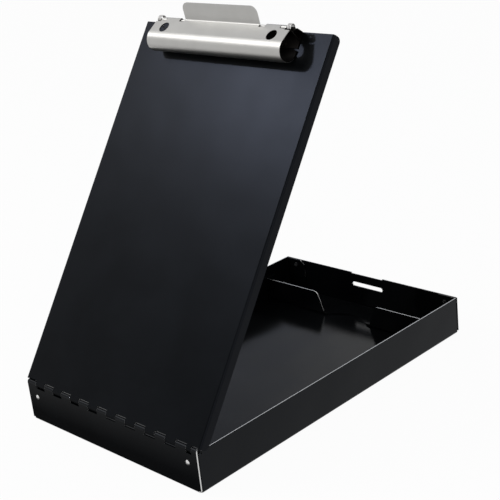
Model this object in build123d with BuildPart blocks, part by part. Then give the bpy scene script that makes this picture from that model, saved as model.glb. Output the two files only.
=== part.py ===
from build123d import *
import os
from math import asin, atan2, ceil, cos, degrees, hypot, radians, sin, sqrt

# A clipboard whose board is the hinged lid of a shallow storage tray.
#
# Frame: X runs along the hinge, Y from the hinge wall to the latch wall, Z up, and
# the origin is the middle of the tray's underside. Millimetres and degrees.
# The lid is drawn open, in directions of its own: u runs along it from the hinge axis
# and n stands square to it, out of the writing face. The clip is drawn from the lid's
# free end: e runs back toward the hinge and h rises from the writing face.

# ---- Aluminium sheet ------------------------------------------------------------------
SHEET = 1.2              # tray, lid and partition
BEND = 0.8               # inside radius of a fold
FOLD = BEND + SHEET      # outside radius of a fold

# ---- Tray -----------------------------------------------------------------------------
WIDTH = 232.0            # outside, along the hinge
LENGTH = 365.0           # outside, hinge wall to latch wall
HEIGHT = 38.5            # side walls and latch wall
NOTCH_RELIEF = 0.4       # the blank's corner notches, past the folds
TAB_REACH = 26.5         # corner tabs, from the outside of the side wall
TAB_GAP = 0.1            # corner tabs to the end walls
TAB_CHAMFER = 5.0        # upper inner corners of the latch end tabs
SLOT_WIDTH = 40.8        # catch slot in the latch wall
SLOT_HEIGHT = 5.0
SLOT_Z = 25.7            # its centre
DIP_WIDTH = 42.0         # shallow dip in the top edge above the slot
DIP_DEPTH = 1.2

# ---- Hinge: both sheets roll round one pin, in turns --------------------------------------
PIN_RADIUS = 1.55
PIN_PLAY = 0.05          # running clearance of the pin in the knuckles
PIN_INSET = 2.0          # the pin ends short of the outer knuckles
KNUCKLE = PIN_RADIUS + PIN_PLAY + SHEET
KNUCKLE_TURN = 290.0     # how far each edge rolls round
KNUCKLE_GAP = 0.4        # between neighbouring knuckles
HINGE_CELLS = 18         # knuckle widths along the hinge
CELL = WIDTH / HINGE_CELLS
HINGE_CLEARANCE = 0.2    # the lid's knuckles to the tray's edges
LID_CLEARANCE = 0.25     # the tray's knuckles to the lid's edge
STEP_DROP = 0.3          # side walls beside the hinge, below the hinge wall
PIN_Y = -LENGTH / 2 + KNUCKLE
PIN_RISE = 0.1           # hinge axis above the side walls
PIN_Z = HEIGHT + PIN_RISE

# ---- Lid --------------------------------------------------------------------------------
LID_ANGLE = 55.3         # how far the lid stands open
LID_SIDE_GAP = 1.8       # side flanges to the tray's side walls
FLANGE_DEPTH = 9.5       # side flanges, from the writing face
FLANGE_START = 2.2       # their start, from the hinge axis, past the board's own edge
FLANGE_NOTCH = 0.4       # the board is cut back to its edge this far past the tray's sides
FLANGE_CORNER = 4.5      # their rounded lower corners
LID_HALF = WIDTH / 2 + LID_SIDE_GAP + SHEET
LID_END = LENGTH - KNUCKLE      # flush with the latch wall when shut

# ---- Pen partition ------------------------------------------------------------------------
PEN_ROOM = 38.0          # pen compartment, latch wall to partition
PARTITION_TOP = 25.8     # above the tray's underside
PARTITION_TAB = 15.0     # end tabs that lie on the side walls
PARTITION_END_GAP = 1.6  # foot to the latch wall
CUTOUT_TOP_HALF = 39.6   # the finger cut-out, half its width at the top edge
CUTOUT_FOLD_HALF = 31.2  # half its width just above the foot's fold
CUTOUT_CORNER = 6.5      # rounded upper corners
CUTOUT_FOOT_HALF = 27.0  # its round end in the foot, half its width at the partition
CUTOUT_FOOT_REACH = 12.0 # and how far it runs into the foot
PARTITION_Y = LENGTH / 2 - SHEET - PEN_ROOM

# ---- Rivets -------------------------------------------------------------------------------
RIVET_RADIUS = 1.6
RIVET_PLAY = 0.05
RIVET_HEAD = 2.35        # head radius
RIVET_DOME = 1.1         # head height
RIVET_TAIL = 2.2         # tail radius
RIVET_TAIL_HEIGHT = 0.8
HINGE_RIVET_INSET = 12.5 # from the outside of the side wall
HINGE_RIVET_Z = 25.9
LATCH_RIVET_INSET = 14.2
LATCH_RIVET_Z = 32.0
HINGE_RIVET_X = WIDTH / 2 - HINGE_RIVET_INSET
LATCH_RIVET_X = WIDTH / 2 - LATCH_RIVET_INSET
RIVET_HOLE = RIVET_RADIUS + RIVET_PLAY

# ---- Lever clip -----------------------------------------------------------------------------
CLIP_HALF = 84.5         # half its width
CLIP_SHEET = 1.0         # nickel-plated steel of the base and the jaw
ROD_RADIUS = 1.6
ROD_PLAY = 0.05          # running clearance of the rod in its barrels
ROD_REACH = 2.0          # the rod's ends, past the jaw
ROD_CHAMFER = 0.4
ROD_H = 13.6             # rod axis above the writing face
BARREL = ROD_RADIUS + ROD_PLAY + CLIP_SHEET
BARREL_TURN = 285.0
BARREL_START = 54.5      # the jaw's barrels, from the middle of the clip
BARREL_WIDTH = 17.8
BARREL_GAP = 0.4         # between the jaw's barrels, the base's ears and the coils
EAR_WIDTH = 6.1          # the base's rolled ears
EAR_START = BARREL_START + BARREL_WIDTH + BARREL_GAP
EAR_END = EAR_START + EAR_WIDTH
EAR_ROOM = 2.7           # the jaw's flat stands back from the rod beside its barrels
ROD_E = BARREL           # the base's back wall is flush with the lid's end
BASE_FOOT = 15.5         # depth of the base's foot
BASE_FOLD = 1.8          # outside radius of the base's fold
BASE_WALL = 10.2         # height of the base's back wall
BASE_WALL_END = 8.4      # its height under the coils
JAW_RADIUS = 11.0        # rolled front of the jaw
JAW_E = 20.9             # its axis from the lid's end
JAW_LIFT = 0.3           # jaw to writing face
JAW_WRAP = 20.0          # how far the roll runs past its lowest point
JAW_H = JAW_RADIUS + JAW_LIFT
LEVER_HALF = 47.0        # lever tab, half its width
LEVER_ANGLE = 46.0       # its rise, toward the lid's end
LEVER_LENGTH = 16.5
LEVER_CORNER = 7.0
LEVER_BEND = 1.5         # inside radius where the flat turns up into the lever
CLIP_RIVET_X = 68.3
CLIP_RIVET_E = 12.0
ACCESS_RADIUS = 5.3      # holes in the jaw over the rivets
ACCESS_E = 11.8

# ---- Torsion springs at the rod's ends --------------------------------------------------------
WIRE = 1.0
COIL_RADIUS = 3.3        # to the middle of the wire
COIL_PITCH = 1.55
COIL_TURNS = 3           # nearest whole number of turns
COIL_SHIFT = 0.8         # the coil hangs back from the rod's axis
COIL_ROOM = 4.0          # the jaw's flat stands back from the rod over the coils
LEG_DOWN = 75.0          # slope of the leg that stands on the base's foot
LEG_UP = 36.0            # slope of the leg that lifts the jaw's flat
LEG_SEAT = 0.3           # wire to the sheet that it bears on

# ---- Spring latch under the lid's end ----------------------------------------------------------
LATCH_SHEET = 0.8        # spring steel
LATCH_WIDTH = 36.0
STRIP_LENGTH = 22.0      # under the lid
STRIP_OVERHANG = 0.5     # past the lid's end
STRIP_RIVET_X = 11.0
STRIP_RIVET_E = 8.5
TONGUE_GAP = 0.4         # strip to tongue, where the steel flexes
TONGUE_OFFSET = 2.2      # tongue to the lid's end
TONGUE_FOLD = 1.6        # outside radius where the tongue turns down
TONGUE_DROP = 16.2       # from the underside of the lid to the lip
LIP_DROP = 2.6           # finger lip below that
LIP_FLARE = 2.4          # and how far it turns out
BEAD_DROP = 13.9         # pressed bead, from the underside of the lid
BEAD_HEIGHT = 3.2
BEAD_WIDTH = 32.0
BEAD_REACH = 2.8         # out of the tongue, into the slot
LATCH_PULL = 8.0         # the tongue is drawn pulled clear of the wall

# ---- Directions and planes ---------------------------------------------------------------------
ALONG_X = Vector(1, 0, 0)
LID_U = Vector(0, cos(radians(LID_ANGLE)), sin(radians(LID_ANGLE)))
LID_N = Vector(0, -sin(radians(LID_ANGLE)), cos(radians(LID_ANGLE)))
PIN = Vector(0, PIN_Y, PIN_Z)
UNDERSIDE = KNUCKLE - SHEET     # the lid's underside, above the hinge axis


def lid_point(x, u, n):
    """The place at x along the hinge, u along the lid and n above the hinge axis."""
    return PIN + ALONG_X * x + LID_U * u + LID_N * n


def clip_point(x, e, h):
    """The place at e back from the lid's end and h above the writing face."""
    return lid_point(x, LID_END - e, KNUCKLE + h)


def rivet_at(plane, grip):
    """One rivet: its head sits on the plane, its shank runs down through the grip."""
    with BuildPart() as rivet:
        with BuildSketch(Plane.XZ):
            with BuildLine():
                Polyline(
                    (0, RIVET_DOME),
                    (0, -grip - RIVET_TAIL_HEIGHT),
                    (RIVET_TAIL, -grip - RIVET_TAIL_HEIGHT),
                    (RIVET_TAIL, -grip),
                    (RIVET_RADIUS, -grip),
                    (RIVET_RADIUS, 0),
                    (RIVET_HEAD, 0),
                )
                TangentArc((0, RIVET_DOME), (RIVET_HEAD, 0), tangent=(1, 0))
            make_face()
        revolve(axis=Axis.Z)
    return plane * rivet.part


def rolled_edge(run, radius, sheet, turn):
    """Sheet that runs straight up the left side of a pin at (0, 0) and rolls over it.

    The roll turns clockwise from the left, and its outside has the given radius.
    """
    with BuildSketch() as roll:
        with BuildLine():
            outside = CenterArc((0, 0), radius, 180, -turn)
            inside = CenterArc((0, 0), radius - sheet, 180, -turn)
            Polyline(outside @ 0, (-radius, -run), (sheet - radius, -run), inside @ 0)
            Line(outside @ 1, inside @ 1)
        make_face()
    return roll.sketch


def knuckle_span(first, last):
    """X limits of a knuckle over some hinge cells, less its share of the gaps beside it."""
    left = -WIDTH / 2 + first * CELL
    right = -WIDTH / 2 + last * CELL
    if first > 0:
        left += KNUCKLE_GAP / 2
    if last < HINGE_CELLS:
        right -= KNUCKLE_GAP / 2
    return left, right


# Tray and lid take the cells in turn. The last one is shared, so that the tray holds
# the pin at both ends.
tray_spans = [knuckle_span(cell, cell + 1) for cell in range(0, HINGE_CELLS, 2)]
tray_spans.append(knuckle_span(HINGE_CELLS - 0.5, HINGE_CELLS))
lid_spans = [knuckle_span(cell, cell + 1) for cell in range(1, HINGE_CELLS - 1, 2)]
lid_spans.append(knuckle_span(HINGE_CELLS - 1, HINGE_CELLS - 0.5))

os.makedirs("parts", exist_ok=True)

# ---- Tray shell: one folded blank -----------------------------------------------------------------
HINGE_WALL_TOP = PIN_Z - KNUCKLE - HINGE_CLEARANCE
SIDE_STEP_TOP = HINGE_WALL_TOP - STEP_DROP
SIDE_STEP_Y = PIN_Y + KNUCKLE + HINGE_CLEARANCE
NOTCH = FOLD + NOTCH_RELIEF
TAB_Y = LENGTH / 2 - SHEET - TAB_GAP

with BuildPart() as tray_shell:
    # floor and both end walls, between the corner notches
    with BuildSketch(Plane.YZ):
        with BuildLine():
            FilletPolyline(
                (-LENGTH / 2, HINGE_WALL_TOP),
                (-LENGTH / 2, 0),
                (LENGTH / 2, 0),
                (LENGTH / 2, HEIGHT),
                radius=FOLD,
            )
            offset(amount=SHEET, side=Side.LEFT)
        make_face()
    extrude(amount=WIDTH / 2 - NOTCH, both=True)
    # floor and both side walls, between the corner notches
    with BuildSketch(Plane.XZ):
        with BuildLine():
            FilletPolyline(
                (-WIDTH / 2, HEIGHT),
                (-WIDTH / 2, 0),
                (WIDTH / 2, 0),
                (WIDTH / 2, HEIGHT),
                radius=FOLD,
            )
            offset(amount=SHEET, side=Side.LEFT)
        make_face()
    extrude(amount=LENGTH / 2 - NOTCH, both=True)
    # above the notches the end walls run the full width
    for wall_y, top in ((-LENGTH / 2, HINGE_WALL_TOP), (LENGTH / 2 - SHEET, HEIGHT)):
        with BuildSketch(Plane.XY.offset(NOTCH)):
            with Locations((0, wall_y + SHEET / 2)):
                Rectangle(WIDTH, SHEET)
        extrude(amount=top - NOTCH)
    # the side walls turn in behind the end walls and end in corner tabs
    for end, top in ((-1, SIDE_STEP_TOP), (1, HEIGHT)):
        for side in (-1, 1):
            with BuildSketch(Plane.XY.offset(NOTCH)):
                with BuildLine():
                    FilletPolyline(
                        (side * WIDTH / 2, end * (TAB_Y - 2 * FOLD - NOTCH)),
                        (side * WIDTH / 2, end * TAB_Y),
                        (side * (WIDTH / 2 - TAB_REACH), end * TAB_Y),
                        radius=FOLD,
                    )
                    offset(amount=SHEET, side=Side.LEFT if side == end else Side.RIGHT)
                make_face()
            extrude(amount=top - NOTCH)
    latch_tab_corners = tray_shell.edges().filter_by(Axis.Y).filter_by(
        lambda edge: abs(abs(edge.center().X) - (WIDTH / 2 - TAB_REACH)) < SHEET / 2
        and edge.center().Z > HEIGHT - SHEET / 2
    )
    chamfer(latch_tab_corners, TAB_CHAMFER)
    # the side walls step down beside the hinge
    with BuildSketch(Plane.YZ):
        with BuildLine():
            Polyline(
                (-LENGTH / 2, SIDE_STEP_TOP),
                (SIDE_STEP_Y, SIDE_STEP_TOP),
                (SIDE_STEP_Y, HEIGHT + SHEET),
                (-LENGTH / 2, HEIGHT + SHEET),
                close=True,
            )
        make_face()
    extrude(amount=WIDTH / 2 + SHEET, both=True, mode=Mode.SUBTRACT)
    # the hinge wall's knuckles
    tray_roll = rolled_edge(PIN_Z - HINGE_WALL_TOP + SHEET, KNUCKLE, SHEET, KNUCKLE_TURN)
    for left, right in tray_spans:
        with BuildSketch(Plane(origin=(left, PIN_Y, PIN_Z), x_dir=(0, 1, 0), z_dir=(1, 0, 0))):
            add(tray_roll)
        extrude(amount=right - left)
    # catch slot, and the dip above it that lets the latch strip in
    with BuildSketch(Plane.XZ.offset(-LENGTH / 2)):
        with Locations((0, SLOT_Z)):
            SlotOverall(SLOT_WIDTH, SLOT_HEIGHT)
        with Locations((0, HEIGHT)):
            Rectangle(DIP_WIDTH, 2 * DIP_DEPTH)
    extrude(amount=SHEET, mode=Mode.SUBTRACT)
    # rivet holes through the end walls and their tabs
    with BuildSketch(Plane.XZ.offset(LENGTH / 2)):
        with Locations((-HINGE_RIVET_X, HINGE_RIVET_Z), (HINGE_RIVET_X, HINGE_RIVET_Z)):
            Circle(RIVET_HOLE)
    extrude(amount=-2 * SHEET - TAB_GAP, mode=Mode.SUBTRACT)
    with BuildSketch(Plane.XZ.offset(-LENGTH / 2)):
        with Locations((-LATCH_RIVET_X, LATCH_RIVET_Z), (LATCH_RIVET_X, LATCH_RIVET_Z)):
            Circle(RIVET_HOLE)
    extrude(amount=2 * SHEET + TAB_GAP, mode=Mode.SUBTRACT)
tray_shell.part.label = "tray_shell"
export_step(tray_shell.part, "parts/tray_shell.step")

# ---- Corner rivets --------------------------------------------------------------------------------
with BuildPart() as hinge_wall_rivets:
    for side in (-1, 1):
        seat = Plane(origin=(side * HINGE_RIVET_X, -LENGTH / 2, HINGE_RIVET_Z), z_dir=(0, -1, 0))
        add(rivet_at(seat, 2 * SHEET + TAB_GAP))
hinge_wall_rivets.part.label = "hinge_wall_rivets"
export_step(hinge_wall_rivets.part, "parts/hinge_wall_rivets.step")

with BuildPart() as latch_wall_rivets:
    for side in (-1, 1):
        seat = Plane(origin=(side * LATCH_RIVET_X, LENGTH / 2, LATCH_RIVET_Z), z_dir=(0, 1, 0))
        add(rivet_at(seat, 2 * SHEET + TAB_GAP))
latch_wall_rivets.part.label = "latch_wall_rivets"
export_step(latch_wall_rivets.part, "parts/latch_wall_rivets.step")

# ---- Hinge pin --------------------------------------------------------------------------------------
with BuildPart() as hinge_pin:
    with BuildSketch(Plane.YZ.offset(-WIDTH / 2 + PIN_INSET)):
        with Locations((PIN_Y, PIN_Z)):
            Circle(PIN_RADIUS)
    extrude(amount=WIDTH - 2 * PIN_INSET)
hinge_pin.part.label = "hinge_pin"
export_step(hinge_pin.part, "parts/hinge_pin.step")

# ---- Pen partition: an angle of sheet with a finger cut-out ---------------------------------------------
PARTITION_HALF = WIDTH / 2 - SHEET - FOLD
WEB_BACK = PARTITION_Y + SHEET

with BuildPart() as pen_partition:
    with BuildSketch(Plane.YZ):
        with BuildLine():
            FilletPolyline(
                (PARTITION_Y, PARTITION_TOP),
                (PARTITION_Y, SHEET),
                (LENGTH / 2 - SHEET - PARTITION_END_GAP, SHEET),
                radius=FOLD,
            )
            offset(amount=SHEET, side=Side.LEFT)
        make_face()
    extrude(amount=PARTITION_HALF, both=True)
    # end tabs, from above the foot's fold to the top
    for side in (-1, 1):
        with BuildSketch(Plane.XY.offset(SHEET + NOTCH)):
            with BuildLine():
                FilletPolyline(
                    (side * (PARTITION_HALF - FOLD), PARTITION_Y),
                    (side * (WIDTH / 2 - SHEET), PARTITION_Y),
                    (side * (WIDTH / 2 - SHEET), PARTITION_Y + PARTITION_TAB),
                    radius=FOLD,
                )
                offset(amount=SHEET, side=Side.LEFT if side > 0 else Side.RIGHT)
            make_face()
        extrude(amount=PARTITION_TOP - SHEET - NOTCH)
    # the cut-out narrows down the web, and ends round in the foot
    foot_radius = (CUTOUT_FOOT_HALF ** 2 + CUTOUT_FOOT_REACH ** 2) / (2 * CUTOUT_FOOT_REACH)
    back_half = sqrt(foot_radius ** 2 - (foot_radius - CUTOUT_FOOT_REACH + SHEET) ** 2)
    with BuildSketch(Plane.XZ.offset(-PARTITION_Y)):
        with BuildLine():
            Polyline(
                (-CUTOUT_TOP_HALF, PARTITION_TOP),
                (-CUTOUT_FOLD_HALF, SHEET + FOLD),
                (-back_half, SHEET + BEND),
                (-back_half, SHEET),
                (back_half, SHEET),
                (back_half, SHEET + BEND),
                (CUTOUT_FOLD_HALF, SHEET + FOLD),
                (CUTOUT_TOP_HALF, PARTITION_TOP),
                close=True,
            )
        make_face()
    extrude(amount=-SHEET, mode=Mode.SUBTRACT)
    with BuildSketch(Plane.XY.offset(SHEET)):
        with BuildLine():
            ThreePointArc(
                (-CUTOUT_FOOT_HALF, PARTITION_Y),
                (0, PARTITION_Y + CUTOUT_FOOT_REACH),
                (CUTOUT_FOOT_HALF, PARTITION_Y),
            )
            Line((-CUTOUT_FOOT_HALF, PARTITION_Y), (CUTOUT_FOOT_HALF, PARTITION_Y))
        make_face()
    extrude(amount=FOLD, mode=Mode.SUBTRACT)
    web_corners = pen_partition.edges().filter_by(Axis.Y).group_by(Axis.Z)[-1]
    fillet(web_corners.sort_by(lambda edge: abs(edge.center().X))[:2], CUTOUT_CORNER)
pen_partition.part.label = "pen_partition"
export_step(pen_partition.part, "parts/pen_partition.step")

# ---- Lid: the writing board, with side flanges and its own knuckles ---------------------------------------
with BuildPart() as lid_plate:
    # seen along the lid from its free end
    with BuildSketch(Plane(origin=lid_point(0, LID_END, 0), x_dir=ALONG_X, z_dir=-LID_U)):
        with BuildLine():
            FilletPolyline(
                (-LID_HALF, KNUCKLE - FLANGE_DEPTH),
                (-LID_HALF, KNUCKLE),
                (LID_HALF, KNUCKLE),
                (LID_HALF, KNUCKLE - FLANGE_DEPTH),
                radius=FOLD,
            )
            offset(amount=SHEET, side=Side.RIGHT)
        make_face()
    extrude(amount=LID_END - FLANGE_START)
    flange_corners = lid_plate.edges().filter_by(Axis.X).group_by(Axis((0, 0, 0), tuple(LID_N)))[0]
    fillet(flange_corners, FLANGE_CORNER)
    # between the flanges the board stands back from the tray's knuckles
    edge_u = KNUCKLE + LID_CLEARANCE
    with BuildSketch(Plane(origin=lid_point(0, FLANGE_START, UNDERSIDE), x_dir=ALONG_X, z_dir=LID_N)):
        Rectangle(WIDTH + 2 * FLANGE_NOTCH, 2 * (edge_u - FLANGE_START))
    extrude(amount=SHEET, mode=Mode.SUBTRACT)
    lid_roll = rolled_edge(edge_u + SHEET, KNUCKLE, SHEET, KNUCKLE_TURN)
    for left, right in lid_spans:
        with BuildSketch(Plane(origin=lid_point(right, 0, 0), x_dir=-LID_N, z_dir=-ALONG_X)):
            add(lid_roll)
        extrude(amount=right - left)
    # rivet holes under the clip
    with BuildSketch(Plane(origin=lid_point(0, LID_END, UNDERSIDE), x_dir=ALONG_X, z_dir=LID_N)):
        with Locations((-CLIP_RIVET_X, -CLIP_RIVET_E), (CLIP_RIVET_X, -CLIP_RIVET_E)):
            Circle(RIVET_HOLE)
        with Locations((-STRIP_RIVET_X, -STRIP_RIVET_E), (STRIP_RIVET_X, -STRIP_RIVET_E)):
            Circle(RIVET_HOLE)
    extrude(amount=SHEET, mode=Mode.SUBTRACT)
lid_plate.part.label = "lid_plate"
export_step(lid_plate.part, "parts/lid_plate.step")

# ---- Clip base: foot, back wall and rolled ears ---------------------------------------------------------
CLIP_SIDE = Plane(origin=clip_point(0, 0, 0), x_dir=-LID_U, z_dir=-ALONG_X)
ear_roll = rolled_edge(ROD_H - BASE_WALL + CLIP_SHEET, BARREL, CLIP_SHEET, BARREL_TURN)

with BuildPart() as clip_base:
    with BuildSketch(CLIP_SIDE):
        with BuildLine():
            FilletPolyline((BASE_FOOT, 0), (0, 0), (0, BASE_WALL), radius=BASE_FOLD)
            offset(amount=CLIP_SHEET, side=Side.RIGHT)
        make_face()
    extrude(amount=CLIP_HALF, both=True)
    # the back wall is lower under the coils
    back = Plane(origin=clip_point(0, 0, 0), x_dir=-ALONG_X, z_dir=LID_U)
    with BuildSketch(back):
        end_x = (EAR_END + CLIP_HALF) / 2
        with Locations((-end_x, BASE_WALL), (end_x, BASE_WALL)):
            Rectangle(CLIP_HALF - EAR_END, 2 * (BASE_WALL - BASE_WALL_END))
    extrude(amount=-CLIP_SHEET, mode=Mode.SUBTRACT)
    for right in (EAR_END, -EAR_START):
        with BuildSketch(Plane(origin=clip_point(right, ROD_E, ROD_H), x_dir=-LID_U, z_dir=-ALONG_X)):
            add(ear_roll)
        extrude(amount=EAR_WIDTH)
    with BuildSketch(Plane(origin=clip_point(0, 0, 0), x_dir=ALONG_X, z_dir=LID_N)):
        with Locations((-CLIP_RIVET_X, -CLIP_RIVET_E), (CLIP_RIVET_X, -CLIP_RIVET_E)):
            Circle(RIVET_HOLE)
        with Locations((-STRIP_RIVET_X, -STRIP_RIVET_E), (STRIP_RIVET_X, -STRIP_RIVET_E)):
            Circle(RIVET_HOLE)
    extrude(amount=CLIP_SHEET, mode=Mode.SUBTRACT)
clip_base.part.label = "clip_base"
export_step(clip_base.part, "parts/clip_base.step")

with BuildPart() as clip_rivets:
    for side in (-1, 1):
        seat = Plane(origin=clip_point(side * CLIP_RIVET_X, CLIP_RIVET_E, CLIP_SHEET), z_dir=LID_N)
        add(rivet_at(seat, CLIP_SHEET + SHEET))
clip_rivets.part.label = "clip_rivets"
export_step(clip_rivets.part, "parts/clip_rivets.step")

with BuildPart() as clip_rod:
    with BuildSketch(Plane(origin=clip_point(0, ROD_E, ROD_H), x_dir=-LID_U, z_dir=-ALONG_X)):
        Circle(ROD_RADIUS)
    extrude(amount=CLIP_HALF + ROD_REACH, both=True)
    chamfer(clip_rod.edges(), ROD_CHAMFER)
clip_rod.part.label = "clip_rod"
export_step(clip_rod.part, "parts/clip_rod.step")

# ---- Clip jaw: flat, rolled front, lever and barrels -----------------------------------------------------
# The flat touches the circle over the rod and the circle of the rolled front.
axis_e = JAW_E - ROD_E
axis_h = JAW_H - ROD_H
FLAT_ANGLE = degrees(atan2(axis_h, axis_e) + asin((JAW_RADIUS - BARREL) / hypot(axis_e, axis_h)))
FLAT_LENGTH = sqrt(axis_e ** 2 + axis_h ** 2 - (JAW_RADIUS - BARREL) ** 2)
FLAT_E = cos(radians(FLAT_ANGLE))
FLAT_H = sin(radians(FLAT_ANGLE))
flat_start = Vector(ROD_E - BARREL * FLAT_H, ROD_H + BARREL * FLAT_E)
flat_end = flat_start + Vector(FLAT_E, FLAT_H) * FLAT_LENGTH
flat_up = LID_U * FLAT_H + LID_N * FLAT_E
relieved_start = flat_start + Vector(FLAT_E, FLAT_H) * EAR_ROOM

with BuildPart() as clip_jaw:
    # flat and rolled front, the full width
    with BuildSketch(CLIP_SIDE):
        with BuildLine():
            Line(relieved_start, flat_end)
            JernArc(flat_end, (FLAT_E, FLAT_H), JAW_RADIUS, -(FLAT_ANGLE + 180 + JAW_WRAP))
            offset(amount=CLIP_SHEET, side=Side.RIGHT)
        make_face()
    extrude(amount=CLIP_HALF, both=True)
    # its rear corners make room for the coils
    flat_top = Plane(origin=clip_point(0, flat_start.X, flat_start.Y), x_dir=ALONG_X, z_dir=flat_up)
    with BuildSketch(flat_top):
        with Locations((-CLIP_HALF, 0), (CLIP_HALF, 0)):
            Rectangle(2 * (CLIP_HALF - EAR_END), 2 * COIL_ROOM)
    extrude(amount=CLIP_SHEET, both=True, mode=Mode.SUBTRACT)
    # barrels on the rod
    jaw_roll = rolled_edge(EAR_ROOM + CLIP_SHEET, BARREL, CLIP_SHEET, BARREL_TURN)
    for start in (BARREL_START, -BARREL_START - BARREL_WIDTH):
        with BuildSketch(Plane(origin=clip_point(start, ROD_E, ROD_H), x_dir=-flat_up, z_dir=ALONG_X)):
            add(jaw_roll)
        extrude(amount=BARREL_WIDTH)
    # lever tab, turned up from the flat's rear edge
    lever_end = flat_start + Vector(-cos(radians(LEVER_ANGLE)), sin(radians(LEVER_ANGLE))) * LEVER_LENGTH
    with BuildSketch(CLIP_SIDE):
        with BuildLine():
            FilletPolyline(
                lever_end,
                flat_start,
                relieved_start + Vector(FLAT_E, FLAT_H) * CLIP_SHEET,
                radius=LEVER_BEND,
            )
            offset(amount=CLIP_SHEET, side=Side.RIGHT)
        make_face()
    extrude(amount=LEVER_HALF, both=True)
    lever_along = Axis((0, 0, 0), tuple(LID_N + LID_U))
    lever_corners = clip_jaw.edges().filter_by(
        lambda edge: edge.geom_type == GeomType.LINE
        and abs(edge.length - CLIP_SHEET) < 0.01
        and abs(abs(edge.center().X) - LEVER_HALF) < 0.01
    )
    fillet(lever_corners.sort_by(lever_along)[-2:], LEVER_CORNER)
    # access holes over the base's rivets
    with BuildSketch(Plane(origin=clip_point(0, 0, JAW_H), x_dir=ALONG_X, z_dir=LID_N)):
        with Locations((-CLIP_RIVET_X, -ACCESS_E), (CLIP_RIVET_X, -ACCESS_E)):
            Circle(ACCESS_RADIUS)
    extrude(amount=JAW_RADIUS + CLIP_SHEET, mode=Mode.SUBTRACT)
clip_jaw.part.label = "clip_jaw"
export_step(clip_jaw.part, "parts/clip_jaw.step")


# ---- Torsion springs: a coil round the rod's end, one leg on the foot, one under the flat ------------------
def meeting_point(start, along_start, end, along_end):
    """Where two tangent arcs meet that lead from one point and direction to another."""
    step = end - start
    both = step.dot(along_start + along_end)
    spread = 2 * (1 - along_start.dot(along_end))
    reach = (sqrt(both * both + spread * step.dot(step)) - both) / spread
    return (start + end + (along_start - along_end) * reach) / 2


def spring(side):
    """Path of one spring's wire, from the foot leg's tip to the lifting leg's tip."""
    first = 90 - LEG_DOWN
    last = 360 * COIL_TURNS + LEG_UP - 90
    quarters = ceil((last - first) / 90)
    length_x = COIL_PITCH * (last - first) / 360
    outer_x = EAR_END + BARREL_GAP + WIRE / 2 + length_x

    def place(x, angle):
        e = ROD_E - COIL_SHIFT + COIL_RADIUS * cos(radians(angle))
        h = ROD_H + COIL_RADIUS * sin(radians(angle))
        return clip_point(side * x, e, h)

    def heading(angle, climb):
        level = LID_U * sin(radians(angle)) + LID_N * cos(radians(angle))
        return (level - ALONG_X * side * climb).normalized()

    turns = [first + (last - first) * step / quarters for step in range(quarters + 1)]
    xs = [outer_x - COIL_PITCH * (angle - first) / 360 for angle in turns]
    climb = COIL_PITCH / radians(360) / COIL_RADIUS
    climbs = [0] + [climb] * (quarters - 1) + [0]
    points = [place(x, angle) for x, angle in zip(xs, turns)]
    headings = [heading(angle, rise) for angle, rise in zip(turns, climbs)]
    # the foot leg's length takes it down to its seat, the lifting leg's up to the flat
    start_h = ROD_H + COIL_RADIUS * sin(radians(first))
    foot_tip_h = CLIP_SHEET + LEG_SEAT + WIRE / 2 * cos(radians(LEG_DOWN))
    foot_leg = (start_h - foot_tip_h) / sin(radians(LEG_DOWN))
    slope = radians(LEG_UP - FLAT_ANGLE)
    from_axis = BARREL - CLIP_SHEET - COIL_SHIFT * FLAT_H
    below_flat = from_axis + COIL_RADIUS * cos(slope) - WIRE / 2 - LEG_SEAT
    lifting_leg = below_flat / sin(slope)
    with BuildLine() as path:
        Line(points[0] - headings[0] * foot_leg, points[0])
        for here, along, there, along_there in zip(points, headings, points[1:], headings[1:]):
            joint = meeting_point(here, along, there, along_there)
            arc = TangentArc(here, joint, tangent=along)
            TangentArc(joint, there, tangent=arc % 1)
        Line(points[-1], points[-1] + headings[-1] * lifting_leg)
    return path.wire()


def least_gap(path):
    """Least gap of the wire to itself, between points more than half a turn apart."""
    count = 360
    places = [path @ (step / count) for step in range(count + 1)]
    apart = ceil(radians(180) * COIL_RADIUS / path.length * count)
    nearest = min(
        (there - here).length
        for number, here in enumerate(places)
        for there in places[number + apart:]
    )
    return nearest - WIRE


right_path = spring(1)
print("spring: least gap of the wire to itself", round(least_gap(right_path), 3), "mm")

with BuildPart() as clip_spring_right:
    with BuildSketch(Plane(origin=right_path @ 0, z_dir=right_path % 0)):
        Circle(WIRE / 2)
    sweep(path=right_path)
clip_spring_right.part.label = "clip_spring_right"
export_step(clip_spring_right.part, "parts/clip_spring_right.step")

left_path = spring(-1)
with BuildPart() as clip_spring_left:
    with BuildSketch(Plane(origin=left_path @ 0, z_dir=left_path % 0)):
        Circle(WIRE / 2)
    sweep(path=left_path)
clip_spring_left.part.label = "clip_spring_left"
export_step(clip_spring_left.part, "parts/clip_spring_left.step")

# ---- Latch: strip under the lid, and the tongue that hangs from it -----------------------------------------
with BuildPart() as latch_strip:
    strip_middle = (STRIP_LENGTH - STRIP_OVERHANG) / 2
    with BuildSketch(Plane(origin=lid_point(0, LID_END - strip_middle, UNDERSIDE - LATCH_SHEET),
                           x_dir=ALONG_X, z_dir=LID_N)):
        Rectangle(LATCH_WIDTH, STRIP_LENGTH + STRIP_OVERHANG)
        inner_corners = vertices().group_by(Axis.Y)[0]
        fillet(inner_corners, TONGUE_FOLD)
    extrude(amount=LATCH_SHEET)
    with BuildSketch(Plane(origin=lid_point(0, LID_END, UNDERSIDE), x_dir=ALONG_X, z_dir=LID_N)):
        with Locations((-STRIP_RIVET_X, -STRIP_RIVET_E), (STRIP_RIVET_X, -STRIP_RIVET_E)):
            Circle(RIVET_HOLE)
    extrude(amount=-LATCH_SHEET, mode=Mode.SUBTRACT)
latch_strip.part.label = "latch_strip"
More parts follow.
